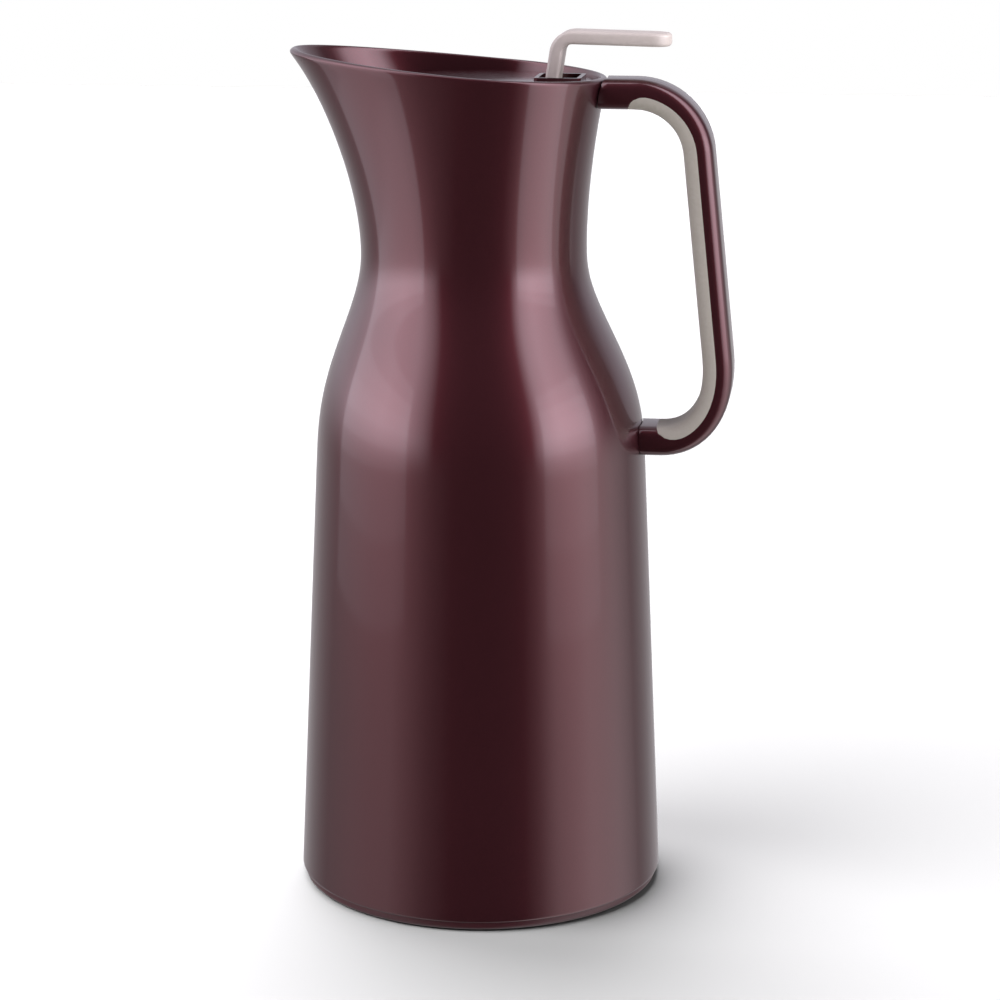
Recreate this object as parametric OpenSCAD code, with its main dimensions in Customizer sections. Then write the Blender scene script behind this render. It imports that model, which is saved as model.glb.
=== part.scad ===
// Vacuum coffee jug with a thumb-lever stopper.
// Frame: origin on the floor under the middle of the base, +Z up, spout towards -X, handle towards +X.

/* [Body] */
// Radius of the body at its lower edge
body_r = 64; // [60:0.5:80]
// Height of the jug at the tip of the spout
tip_z = 293.5; // [285:0.5:360]
// How much the body narrows for each millimetre of height
body_taper = 0.046; // [0.03:0.002:0.06]
// Wall of the moulded body
shell_wall = 2.4; // [1.8:0.1:3]

/* [Shoulder and neck] */
// How much narrower the neck is than the body
shoulder_drop = 15.3; // [14:0.1:17]
// How far the neck's centre leans towards the spout
neck_lean = 2.4; // [0:0.1:3]
// How much the mouth widens above the neck
mouth_flare = 6; // [5:0.1:8]
// How far the spout reaches past the round mouth
spout_reach = 23; // [15:0.5:28]
// Extra curl of the lip at the tip of the spout
lip_curl = 1.9; // [0:0.1:3]
// Fall of the rim for each millimetre from the spout to the handle
rim_slope = 0.0745; // [0.05:0.0005:0.1]

/* [Handle] */
// Width of the handle
handle_w = 21; // [16:0.5:26]
// Thickness of the handle's bar
handle_t = 10.2; // [8:0.1:12]
// Depth of the soft grip set into the bar
grip_t = 4.8; // [3:0.1:5.5]
// Radius of the handle's upper corner, outside
handle_corner_r = 26.9; // [22:0.1:32]
// Distance of the handle's upper corner centre from the rim
handle_reach = 10; // [8:0.5:19]
// Height of the lower arm's underside
handle_low_z = 155.8; // [150:0.2:158]

/* [Stopper] */
// Gap between the stopper's cover and the widest part of the mouth
cover_gap = 1.56; // [1:0.02:3]
// Radius of the stopper where the collar guides it
barrel_r = 29.2; // [27:0.1:29.6]
// Gap between the plug and the bore of the liner's neck
plug_gap = 2.2; // [1:0.1:3.5]
// Wall of the stopper's mouldings
stopper_wall = 2.2; // [1.6:0.1:2.8]

/* [Lever] */
// Width of the thumb lever
lever_w = 15; // [10:0.5:15.5]
// Thickness of the thumb lever
lever_t = 4.4; // [3.5:0.1:5]
// Distance of the lever's pin from the jug's middle
pivot_x = 22; // [20:0.5:22.5]
// Reach of the thumb lever's end from the jug's middle
lever_reach = 65.3; // [55:0.5:75]
// Height of the thumb lever's top above the cover
lever_rise = 17; // [14:0.5:22]
// Lean of the lever's stem towards the handle, in degrees
stem_lean = 8.5; // [4:0.5:10]
// Radius of the lever's pin
pin_r = 1.5; // [1.2:0.1:1.8]

/* [Liner] */
// Inside radius of the liner's neck
neck_bore_r = 20; // [19.5:0.1:21.5]
// Thickness of the liner's glass
glass_t = 1.6; // [1.2:0.1:2]
// Vacuum gap between the liner's two walls
vacuum_gap = 4.4; // [3:0.1:5]

/* [Fits] */
// Gap between pieces that are fitted together
fit_gap = 0.3; // [0.2:0.05:0.4]
// Radial clearance of a running shaft
running_gap = 0.06; // [0.03:0.01:0.09]

/* [Hidden] */
$fn = 96;

// Heights where the body's outline changes
shell_z0 = 3.5;
taper_z = 9.5;
shoulder_z0 = 155;
waist_z = 222;
shoulder_bias = 1.3;
flare_power = 1.7;
curl_power = 10;
rim_curve = 0.00014;
rim_shift = 3.4;
rim_z0 = tip_z - 6.55;

// Steps of the body's loft
shell_sides = 48;
shoulder_steps = 11;
flare_steps = 12;

function ease(t) = t * t * (3 - 2 * t);
function unit(t) = min(1, max(0, t));
function mix(a, b, t) = a + (b - a) * t;

// Radius and centre of the plain round body at a height
function shoulder_at(z) = ease(pow(unit((z - shoulder_z0) / (waist_z - shoulder_z0)), shoulder_bias));
function round_r(z) = body_r - body_taper * (z - taper_z) - shoulder_drop * shoulder_at(z);
function round_x(z) = -neck_lean * shoulder_at(z);

// Reach and height of the rim in one direction: a round mouth whose front half is drawn out
function rim_x(a) = rim_shift - neck_lean + cos(a) * (round_r(rim_z0) + mouth_flare + (cos(a) < 0 ? spout_reach + lip_curl : 0));
function rim_z(a) = rim_z0 - rim_slope * rim_x(a) + rim_curve * pow(rim_x(a), 2);

// One point of the body's wall: v runs from 0 at the waist to 1 at the rim, inset is the depth under the skin
function flare_r(v, a, z, inset) = round_r(z) - inset + mouth_flare * pow(v, flare_power)
    + (cos(a) < 0 ? spout_reach * pow(v, flare_power) + lip_curl * pow(v, curl_power) : 0);
function flare_point(v, a, inset) =
    let (z = mix(waist_z, rim_z(a), v))
    [
        -neck_lean + rim_shift * pow(v, flare_power) + cos(a) * flare_r(v, a, z, inset),
        sin(a) * (round_r(z) - inset + mouth_flare * pow(v, flare_power)),
        z
    ];
function round_point(z, a, inset) =
    [round_x(z) + cos(a) * (round_r(z) - inset), sin(a) * (round_r(z) - inset), z];

side_angles = [for (i = [0 : shell_sides - 1]) 360 * i / shell_sides];
function skin(inset) = concat(
    [[for (a = side_angles) round_point(shell_z0, a, inset)]],
    [for (k = [0 : shoulder_steps]) [for (a = side_angles)
        round_point(mix(shoulder_z0, waist_z, k / shoulder_steps), a, inset)]],
    [for (k = [1 : flare_steps]) [for (a = side_angles) flare_point(k / flare_steps, a, inset)]]
);

// Faces that join a list of rings of n points in a closed tube, or a bar with flat ends
function band_faces(rings, n, wrap) = [
    for (k = [0 : rings - (wrap ? 1 : 2)], i = [0 : n - 1])
        let (p = k * n, q = ((k + 1) % rings) * n, j = (i + 1) % n)
            for (f = [[p + i, p + j, q + j], [p + i, q + j, q + i]]) f
];
function end_faces(rings, n) = [
    [for (i = [0 : n - 1]) n - 1 - i],
    [for (i = [0 : n - 1]) (rings - 1) * n + i]
];
function flat_list(lists) = [for (l = lists) for (p = l) p];
function turned(faces) = [for (f = faces) [f[0], f[2], f[1]]];

// Ring of rectangular section between two radii and two heights
module ring(r_in, r_out, z0, z1) {
    translate([0, 0, z0])
        difference() {
            cylinder(h = z1 - z0, r = r_out);
            translate([0, 0, -1]) cylinder(h = z1 - z0 + 2, r = r_in);
        }
}
module rod_y(r, y0, y1, x, z) { translate([x, y0, z]) rotate([-90, 0, 0]) cylinder(h = y1 - y0, r = r); }
module both_sides() { children(); mirror([0, 1, 0]) children(); }

// ---- Handle ----
handle_top_z = rim_z(0) + 0.4;
handle_tilt = 6.2;
corner_x = rim_x(0) + handle_reach;
low_corner_z = handle_low_z + 35;
low_corner_x = round_r(handle_low_z) + 5.73;
bar_x = corner_x + handle_corner_r * cos(handle_tilt);
bar_top_z = handle_top_z - handle_corner_r * (1 - sin(handle_tilt));
bar_low = [bar_x + (bar_top_z - low_corner_z) * tan(handle_tilt), low_corner_z];
arm_root_x = corner_x - 19;
low_root_x = low_corner_x - 15;
arm_step = 2;
corner_steps = 12;
low_steps = 12;
arm_z = handle_top_z - handle_t / 2;

function bezier(a, b, c, d, t) =
    pow(1 - t, 3) * a + 3 * t * pow(1 - t, 2) * b + 3 * t * t * (1 - t) * c + pow(t, 3) * d;
low_pull_down = 21;
low_pull_in = 16;
bar_dir = [sin(handle_tilt), -cos(handle_tilt)];

// Outside line of the handle from the upper arm round to the lower arm
handle_line = concat(
    [[arm_root_x, handle_top_z]],
    [for (k = [3 : -1 : 1]) [corner_x - 1 - k * arm_step, handle_top_z]],
    [for (k = [0 : corner_steps])
        let (a = mix(90, handle_tilt, k / corner_steps))
            [corner_x + handle_corner_r * cos(a), handle_top_z - handle_corner_r * (1 - sin(a))]],
    [for (k = [0 : low_steps]) bezier(
        bar_low, bar_low + low_pull_down * bar_dir,
        [low_corner_x + low_pull_in, handle_low_z], [low_corner_x, handle_low_z], k / low_steps)],
    [for (k = [1 : 3]) [low_corner_x - k * arm_step, handle_low_z]],
    [[low_root_x, handle_low_z]]
);
line_n = len(handle_line);
function line_dir(i) =
    let (d = handle_line[min(i + 1, line_n - 1)] - handle_line[max(i - 1, 0)]) d / norm(d);
function inward(i) = let (d = line_dir(i)) [d[1], -d[0]];

// Depth of the grip along the line: nothing on the arms, full on the bar, with rounded ends
grip_first = 3;
grip_last = line_n - 4;
grip_ramp = 3;
grip_edge = 0.05;
function grip_depth(i) = i < grip_first || i > grip_last ? 0 :
    max(grip_edge, grip_t * sqrt(1 - pow(1 - unit(min(i - grip_first, grip_last - i) / grip_ramp), 2)));

// Half width of the bar's rounded section at depth s below its outer face
corner_r = 4.4;
corner_pts = 4;
function half_w(s) =
    let (d = max(0, corner_r - s, s - handle_t + corner_r))
    handle_w / 2 - corner_r + sqrt(max(0, corner_r * corner_r - d * d));
function both_halves(depths) = concat(
    [for (s = depths) [s, half_w(s)]],
    [for (k = [len(depths) - 1 : -1 : 0]) [depths[k], -half_w(depths[k])]]
);
function shell_depths(s1) = concat(
    [for (k = [0 : corner_pts]) corner_r * (1 - cos(90 * k / corner_pts))],
    [for (k = [1 : corner_pts]) mix(min(handle_t - corner_r, s1 - 0.6), s1, sin(90 * k / corner_pts))]
);
function grip_depths(s1) = [for (k = [0 : corner_pts]) mix(s1, handle_t, sin(90 * k / corner_pts))];
function placed(i, pts) = [for (p = pts)
    let (o = handle_line[i] + p[0] * inward(i)) [o[0], p[1], o[1]]];
module swept(rings) {
    n = len(rings[0]);
    polyhedron(
        points = flat_list(rings),
        faces = concat(band_faces(len(rings), n, false), end_faces(len(rings), n))
    );
}

// Rear of the mouth as a cone that the upper arm butts against, and the body at the lower arm
seat_gap = 0.05;
low_seat_gap = 0.2;
function mouth_share(z) = pow(unit((z - waist_z) / (rim_z(0) - waist_z)), flare_power);
function mouth_back_x(z) = mouth_share(z) * (rim_shift + mouth_flare) - neck_lean + round_r(z);
mouth_mid_x = mouth_share(arm_z) * rim_shift - neck_lean;
arm_low_z = handle_top_z - handle_t - 1;
module arm_seats() {
    translate([mouth_mid_x, 0, arm_low_z])
        cylinder(
            h = handle_t + 2,
            r1 = mouth_back_x(arm_low_z) - mouth_mid_x + seat_gap,
            r2 = mouth_back_x(handle_top_z + 1) - mouth_mid_x + seat_gap,
            $fn = 180
        );
    translate([0, 0, handle_low_z - 1])
        cylinder(
            h = handle_t + 2,
            r1 = round_r(handle_low_z - 1) + low_seat_gap,
            r2 = round_r(handle_low_z + handle_t + 1) + low_seat_gap,
            $fn = 180
        );
}

// Screws that hold the handle, from inside the body into brass inserts in the arms
screw_r = 1.5;
screw_head_r = 2.9;
screw_head_h = 1.5;
screw_len = 7.4;
insert_r = 2.4;
insert_len = 4.4;
low_screw_z = handle_low_z + handle_t / 2;
high_screw_x = mouth_back_x(arm_z) - shell_wall;
low_screw_x = round_r(low_screw_z) - shell_wall;
screw_places = [[high_screw_x, arm_z], [low_screw_x, low_screw_z]];
module at_screws() {
    for (p = screw_places) translate([p[0], 0, p[1]]) rotate([0, 90, 0]) children();
}

// ---- Base ----
cap_r = body_r - 0.7;
cap_z0 = 0.6;
cap_top_z = 5;
recess_h = 1;
recess_inset = 2;
finger_x = 24;
finger_w = 14;
finger_len = 16;
finger_h = 3.4;
cap_skirt_top = 16;
skirt_r = round_r(cap_skirt_top) - shell_wall - fit_gap;
skirt_wall = 2.2;
bead_z = 13;
bead_h = 1.6;
bead_depth = 0.5;
groove_depth = 0.8;
foot_r_in = body_r - 14;
foot_r_out = body_r - 7;
foot_h = 2.4;
seal_z0 = 8;
seal_z1 = 9.8;
seal_depth = 1.2;

// ---- Liner ----
liner_z0 = 18;
liner_dome = 14;
liner_shoulder_z0 = 158;
liner_gap = 2.7;
liner_r = round_r(liner_shoulder_z0) - shell_wall - liner_gap;
liner_shoulder_z1 = 214;
lip_z = 229;
neck_gap = 2.4;
dome_steps = 10;
bulb_steps = 16;
inner_glass_r = liner_r - glass_t - vacuum_gap;
neck_out_r = neck_bore_r + 2 * glass_t + neck_gap;
function bulb(r_body, r_neck, z0, z1, dome) = concat(
    [for (k = [0 : dome_steps]) [r_body * sin(90 * k / dome_steps), z0 + dome * (1 - cos(90 * k / dome_steps))]],
    [for (k = [0 : bulb_steps])
        let (u = k / bulb_steps)
            [mix(r_body, r_neck, ease(pow(u, shoulder_bias))), mix(liner_shoulder_z0, liner_shoulder_z1, u)]],
    [[r_neck, z1]]
);
function backwards(list) = [for (i = [len(list) - 1 : -1 : 0]) list[i]];
module glass(r_body, r_neck, z0, z1, dome) {
    rotate_extrude()
        polygon(concat(
            bulb(r_body, r_neck, z0, z1, dome),
            backwards(bulb(r_body - glass_t, r_neck - glass_t, z0 + glass_t, z1, dome - glass_t / 2))
        ));
}
cushion_r_in = 20;
cushion_r_out = 40;
function dome_z(r) = liner_z0 + liner_dome * (1 - sqrt(1 - pow(r / liner_r, 2)));
tip_r = 2.6;
tip_h = 6.5;
guard_r = 7;
guard_gap = 1.5;
guard_floor = 2;
cushion_steps = 6;
spacer_r = 4;
spacer_z = 100;
spacer_play = 0.2;

// ---- Collar ----
gasket_h = 2.5;
gasket_wall = 1.9;
gasket_drop = 6;
flange_h = 2.5;
collar_z0 = 212;
collar_step = 2;
flange_z = lip_z + gasket_h;
seat_z = flange_z + flange_h;
collar_top_z = seat_z + 7;
collar_top_share = pow(unit((collar_top_z - waist_z) / (rim_z0 - waist_z)), flare_power);
collar_room = min(round_r(lip_z), round_r(collar_top_z) + mouth_flare * collar_top_share);
collar_r = collar_room - shell_wall - fit_gap;
collar_bore_r = barrel_r + fit_gap;
flange_bore_r = neck_bore_r + 1.5;
collar_relief = 2;
collar_ease = 4;
collar_seal_z = 226.5;
collar_seal_h = 3;
collar_seal_depth = 1.8;
key_w = 4;
key_depth = 1.4;

// ---- Stopper ----
plug_z = 206;
plug_r = neck_bore_r - plug_gap;
seat_gap_z = 0.1;
valve_seat_h = 2.5;
valve_seat_r = 9;
plug_in_r = plug_r - stopper_wall;
stopper_seal_h = 1.6;
floor_z = seat_z + seat_gap_z + stopper_seal_h;
floor_h = 2.5;
upper_r = 32;
upper_z = collar_top_z + 1.5;
cover_t = 2.8;
cover_drop = 0.909;
cover_r = round_r(rim_z0) + mouth_flare - shell_wall - cover_gap;
cover_top_z = rim_z(0) - cover_drop;
cup_top_z = cover_top_z - cover_t;
deck_depth = 23.6;
deck_z = cup_top_z - deck_depth;
deck_h = 2.4;
window_half_w = 18;
window_z0 = upper_z + 2.5;
window_z1 = window_z0 + 10;
stem_notch_h = 6;
rod_r = 2;
rod_hole_r = rod_r + running_gap;
bush_r = 3.6;
gland_r = 4.2;
spider_z0 = 231;
spider_h = 4.5;
spider_r = 7;
spider_arm_w = 2.4;
pivot_z = deck_z + 8;
hub_r = 4.2;
hub_half_w = lever_w / 2 + 0.6;
ear_gap = 0.4;
ear_t = 2.6;
ear_r = 4;
slot_x0 = pivot_x - 1.5;
slot_x1 = pivot_x + 11.5;
slot_half_w = lever_w / 2 + 1;
bezel_w = 1.5;
bezel_h = 1.6;
snap_r = upper_r - stopper_wall - 0.4;
snap_w = 6;
snap_t = 1.4;
snap_h = 7;
hook_h = 1.6;
hook_d = 1.2;
snap_angles = [60, 120, 240, 300];
plug_seal_z0 = 214;
plug_seal_z1 = 224;
plug_seal_depth = 1;
plug_fit = 0.05;
plug_lip_w = 1.6;
plug_lip_h = 1.2;
fin_r = neck_bore_r - 0.4;
fin_h = 1;

// ---- Valve and lever ----
tine_r = 2;
tine_y0 = 3.2;
tine_y1 = 6.4;
lift_play = 0.15;
lift_disc_z = pivot_z + tine_r + lift_play;
lift_disc_h = 2;
lift_disc_r = 6.8;
clip_h = 0.8;
clip_r = 4.4;
rod_top_z = lift_disc_z + lift_disc_h + clip_h + 1;
valve_seal_z = plug_z + valve_seat_h + seat_gap_z;
valve_seal_h = 1.6;
valve_r = 12.4;
head_z = valve_seal_z + valve_seal_h;
head_h = 2.2;
head_hub_r = 4;
head_hub_h = 2.5;
wire_r = 0.5;
coil_r = 5.4;
coil_turns = 6;
coil_sides = 6;
coil_steps = 16;
spring_z0 = head_z + head_h;
spring_z1 = spider_z0;
lever_top_z = cover_top_z + lever_rise;
arm_mid_z = lever_top_z - lever_t / 2;
bend_r = 5.6;
bend_steps = 8;
lever_end_r = 1.6;
arm_fall = 0.75;
tip_corner_r = 0.43 * lever_w;

// Middle line of the lever from its pin up the stem and along the thumb arm
bend_x = pivot_x + (arm_mid_z - pivot_z) * tan(stem_lean);
bend_cut = bend_r * tan((90 - stem_lean) / 2);
bend_centre = [bend_x + bend_cut, arm_mid_z - bend_r];
function lever_side(offset) = concat(
    [[pivot_x, pivot_z] + offset * [-cos(stem_lean), sin(stem_lean)]],
    [for (k = [0 : bend_steps])
        let (a = mix(180 - stem_lean, 90, k / bend_steps))
            bend_centre + (bend_r + offset) * [cos(a), sin(a)]],
    [[lever_reach - lever_end_r, arm_mid_z - arm_fall + offset]]
);
function lever_tip(sign) = [for (k = [0 : 4])
    let (a = sign > 0 ? mix(90, 0, k / 4) : mix(0, -90, k / 4))
        [lever_reach - lever_end_r + lever_end_r * cos(a),
         arm_mid_z - arm_fall + sign * (lever_t / 2 - lever_end_r) + lever_end_r * sin(a)]];

// ---- Sub-parts ----
module outer_shell() {
    rings = concat(skin(0), backwards(skin(shell_wall)));
    color([0.28, 0.13, 0.15])
        difference() {
            polyhedron(points = flat_list(rings), faces = band_faces(len(rings), shell_sides, true));
            at_screws() {
                translate([0, 0, -1]) cylinder(h = shell_wall + 3, r = screw_r + fit_gap);
                translate([0, 0, -2]) cylinder(h = 2, r = screw_head_r + fit_gap);
                cylinder(h = screw_head_h, r1 = screw_head_r + fit_gap, r2 = screw_r + fit_gap);
            }
            ring(skirt_r - 1, round_r(bead_z) - shell_wall + groove_depth, bead_z - bead_h, bead_z + bead_h);
        }
}
module base_cap() {
    color([0.22, 0.1, 0.12])
        difference() {
            union() {
                rotate_extrude()
                    polygon([
                        [0, cap_z0 + recess_h], [foot_r_in - recess_inset - 1.5 * recess_h, cap_z0 + recess_h],
                        [foot_r_in - recess_inset, cap_z0], [cap_r - 1.4, cap_z0],
                        [cap_r - 0.5, cap_z0 + 0.5], [cap_r - 0.1, cap_z0 + 1.4], [cap_r, shell_z0], [skirt_r, shell_z0], [skirt_r, cap_skirt_top],
                        [skirt_r - skirt_wall, cap_skirt_top], [skirt_r - skirt_wall, cap_top_z], [0, cap_top_z]
                    ]);
                ring(skirt_r - 1, skirt_r + bead_depth, bead_z - bead_h / 2, bead_z + bead_h / 2);
            }
            ring(foot_r_in, foot_r_out, -1, foot_h);
            ring(skirt_r - seal_depth, skirt_r + 2, seal_z0, seal_z1);
            for (a = [0, 180]) rotate([0, 0, a])
                translate([finger_x, -finger_w / 2, 0]) cube([finger_len, finger_w, finger_h]);
        }
}
module foot_ring() { color([0.16, 0.15, 0.15]) ring(foot_r_in, foot_r_out, 0, foot_h); }
module base_seal() {
    color([0.85, 0.85, 0.82]) ring(skirt_r - seal_depth, skirt_r + fit_gap / 2, seal_z0, seal_z1);
}
module liner_cushion() {
    color([0.2, 0.2, 0.2])
        rotate_extrude()
            polygon(concat(
                [[cushion_r_in, cap_top_z], [cushion_r_out, cap_top_z]],
                [for (k = [cushion_steps : -1 : 0])
                    let (r = mix(cushion_r_in, cushion_r_out, k / cushion_steps)) [r, dome_z(r) - fit_gap]]
            ));
}
module tip_guard() {
    color([0.2, 0.2, 0.2])
        difference() {
            translate([0, 0, cap_top_z]) cylinder(h = liner_z0 - cap_top_z - guard_gap, r = guard_r);
            translate([0, 0, cap_top_z + guard_floor]) cylinder(h = liner_z0, r = tip_r + guard_gap);
        }
}
module liner_outer_glass() {
    color([0.8, 0.83, 0.85, 0.5]) {
        glass(liner_r, neck_out_r, liner_z0, lip_z - glass_t, liner_dome);
        translate([0, 0, liner_z0 - tip_h]) cylinder(h = tip_h + 1, r1 = tip_r / 2, r2 = tip_r);
    }
}
module liner_inner_glass() {
    color([0.8, 0.83, 0.85, 0.5]) {
        glass(
            inner_glass_r, neck_bore_r + glass_t, liner_z0 + glass_t + vacuum_gap,
            lip_z, liner_dome - vacuum_gap / 2
        );
        ring(neck_bore_r, neck_out_r, lip_z - glass_t, lip_z);
    }
}
module liner_spacers() {
    color([0.75, 0.7, 0.6])
        for (a = [60, 180, 300]) rotate([0, 0, a])
            translate([inner_glass_r + spacer_play, 0, spacer_z]) rotate([0, 90, 0])
                cylinder(h = vacuum_gap - 2 * spacer_play, r = spacer_r);
}
module neck_gasket() {
    color([0.8, 0.8, 0.78]) {
        ring(neck_bore_r + 1, neck_out_r + gasket_wall, lip_z, flange_z);
        ring(neck_out_r, neck_out_r + gasket_wall, lip_z - gasket_drop, lip_z);
    }
}
module neck_collar() {
    color([0.24, 0.11, 0.13])
        difference() {
            translate([-neck_lean, 0, 0])
                rotate_extrude()
                    polygon(concat(
                        [[0, collar_z0]],
                        [for (z = [collar_z0 : collar_step : waist_z])
                            [round_r(z) - shell_wall - fit_gap - neck_lean - round_x(z), z]],
                        [[collar_r, lip_z - collar_ease], [collar_r, collar_top_z], [0, collar_top_z]]
                    ));
            translate([0, 0, collar_z0 - 1]) cylinder(h = flange_z - collar_z0 + 1, r = neck_out_r + gasket_wall);
            translate([0, 0, collar_z0 - 1])
                cylinder(h = lip_z - gasket_drop - collar_z0, r = neck_out_r + gasket_wall + collar_relief);
            translate([0, 0, flange_z - 1]) cylinder(h = flange_h + 2, r = flange_bore_r);
            translate([0, 0, seat_z]) cylinder(h = collar_top_z, r = collar_bore_r);
            translate([-neck_lean, 0, 0])
                ring(collar_r - collar_seal_depth, collar_r + 2, collar_seal_z, collar_seal_z + collar_seal_h);
            translate([-collar_bore_r - key_depth, -key_w / 2 - fit_gap, seat_z])
                cube([key_depth + 2, key_w + 2 * fit_gap, collar_top_z]);
        }
}
module collar_seal() {
    color([0.8, 0.8, 0.78])
        translate([-neck_lean, 0, 0])
            ring(collar_r - collar_seal_depth, collar_r + fit_gap / 2, collar_seal_z, collar_seal_z + collar_seal_h);
}
module handle_shell() {
    color([0.28, 0.13, 0.15])
        difference() {
            swept([for (i = [0 : line_n - 1]) placed(i, both_halves(shell_depths(handle_t - grip_depth(i))))]);
            arm_seats();
            at_screws() cylinder(h = insert_len + shell_wall + 0.5, r = insert_r);
            at_screws() cylinder(h = screw_len + 1, r = screw_r + fit_gap);
        }
}
module handle_grip() {
    color([0.66, 0.62, 0.59])
        swept([for (i = [grip_first : grip_last]) placed(i, both_halves(grip_depths(handle_t - grip_depth(i))))]);
}
module handle_inserts() {
    color([0.75, 0.6, 0.3])
        at_screws()
            translate([0, 0, shell_wall + 0.5])
                difference() {
                    cylinder(h = insert_len, r = insert_r);
                    translate([0, 0, -1]) cylinder(h = insert_len + 2, r = screw_r);
                }
}
module handle_screws() {
    color([0.75, 0.75, 0.75])
        at_screws()
            difference() {
                union() {
                    cylinder(h = screw_len, r = screw_r);
                    cylinder(h = screw_head_h, r1 = screw_head_r, r2 = screw_r);
                }
                translate([0, 0, -1]) cylinder(h = 1.9, r = 1, $fn = 6);
            }
}
module stopper_body() {
    color([0.2, 0.19, 0.19])
        difference() {
            union() {
                ring(plug_r + plug_fit, barrel_r, floor_z, floor_z + floor_h);
                ring(barrel_r - stopper_wall, barrel_r, floor_z, upper_z + 1);
                ring(barrel_r - stopper_wall, upper_r, upper_z, window_z0);
                ring(upper_r - stopper_wall, upper_r, upper_z, cup_top_z);
                translate([0, 0, deck_z]) cylinder(h = deck_h, r = upper_r - stopper_wall / 2);
                translate([-barrel_r - key_depth + fit_gap, -key_w / 2, floor_z])
                    cube([key_depth + 1, key_w, collar_top_z - floor_z - 1]);
                both_sides() translate([pivot_x - ear_r, hub_half_w + ear_gap, deck_z + 1])
                    cube([2 * ear_r, ear_t, pivot_z - deck_z - 1]);
                both_sides() rod_y(ear_r, hub_half_w + ear_gap, hub_half_w + ear_gap + ear_t, pivot_x, pivot_z);
            }
            translate([-upper_r - 1, -window_half_w, window_z0])
                cube([upper_r, 2 * window_half_w, window_z1 - window_z0]);
            translate([slot_x0, -slot_half_w, cup_top_z - stem_notch_h])
                cube([slot_x1 - slot_x0, 2 * slot_half_w, stem_notch_h + 1]);
            translate([0, 0, deck_z - 1]) cylinder(h = deck_h + 2, r = gland_r);
            rod_y(pin_r, -upper_r / 2, upper_r / 2, pivot_x, pivot_z);
            for (a = snap_angles) rotate([0, 0, a])
                translate([snap_r - 0.5, -snap_w / 2 - fit_gap, cup_top_z - snap_h - fit_gap])
                    cube([hook_d + 1, snap_w + 2 * fit_gap, hook_h + 2 * fit_gap]);
        }
}
module stopper_plug() {
    color([0.2, 0.19, 0.19])
        difference() {
            union() {
                ring(plug_in_r, plug_r, plug_z, floor_z + floor_h + plug_lip_h);
                ring(valve_seat_r, plug_r, plug_z, plug_z + valve_seat_h);
                ring(plug_in_r, plug_r + plug_lip_w, floor_z + floor_h + plug_fit, floor_z + floor_h + plug_lip_h);
                translate([0, 0, spider_z0]) cylinder(h = spider_h, r = spider_r);
                for (a = [60, 180, 300]) rotate([0, 0, a]) translate([0, -spider_arm_w / 2, spider_z0])
                    cube([plug_in_r + stopper_wall / 2, spider_arm_w, spider_h]);
            }
            translate([0, 0, spider_z0 - 1]) cylinder(h = spider_h + 2, r = bush_r);
            ring(plug_r - plug_seal_depth, plug_r + 1, plug_seal_z0, plug_seal_z1);
        }
}
module stopper_cover() {
    color([0.28, 0.13, 0.15])
        difference() {
            union() {
                rotate_extrude()
                    polygon([
                        [0, cup_top_z], [cover_r - 0.4, cup_top_z], [cover_r, cup_top_z + 0.4],
                        [cover_r, cover_top_z - 0.8], [cover_r - 0.25, cover_top_z - 0.25],
                        [cover_r - 0.8, cover_top_z], [0, cover_top_z]
                    ]);
                translate([slot_x0 - bezel_w, -slot_half_w - bezel_w, cup_top_z])
                    cube([
                        slot_x1 - slot_x0 + 2 * bezel_w, 2 * (slot_half_w + bezel_w),
                        cover_top_z - cup_top_z + bezel_h
                    ]);
                for (a = snap_angles) rotate([0, 0, a]) {
                    translate([snap_r - snap_t, -snap_w / 2, cup_top_z - snap_h])
                        cube([snap_t, snap_w, snap_h + 1]);
                    translate([snap_r - snap_t, -snap_w / 2, cup_top_z - snap_h])
                        cube([snap_t + hook_d, snap_w, hook_h]);
                }
            }
            translate([slot_x0, -slot_half_w, cup_top_z - 1])
                cube([slot_x1 - slot_x0, 2 * slot_half_w, cover_top_z - cup_top_z + bezel_h + 2]);
        }
}
module stopper_seal() {
    color([0.85, 0.85, 0.82]) ring(flange_bore_r + 1, barrel_r - 0.7, floor_z - stopper_seal_h, floor_z);
}
module plug_seal() {
    color([0.85, 0.85, 0.82]) {
        ring(plug_r - plug_seal_depth, plug_r, plug_seal_z0, plug_seal_z1);
        for (z = [plug_seal_z0 + 1.5, plug_seal_z1 - 2.5])
            ring(plug_r - plug_seal_depth / 2, fin_r, z, z + fin_h);
    }
}
module guide_bush() { color([0.9, 0.9, 0.88]) ring(rod_hole_r, bush_r, spider_z0, spider_z0 + spider_h); }
module rod_gland() {
    color([0.85, 0.85, 0.82]) {
        ring(rod_hole_r, gland_r, deck_z, deck_z + deck_h);
        ring(rod_hole_r, gland_r + 1.5, deck_z + deck_h, deck_z + deck_h + 1);
    }
}
module lever_plan() {
    hull() {
        translate([0, -lever_w / 2]) square([1, lever_w]);
        for (side = [-1, 1])
            translate([lever_reach - tip_corner_r, side * (lever_w / 2 - tip_corner_r)]) circle(r = tip_corner_r);
    }
}
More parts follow.
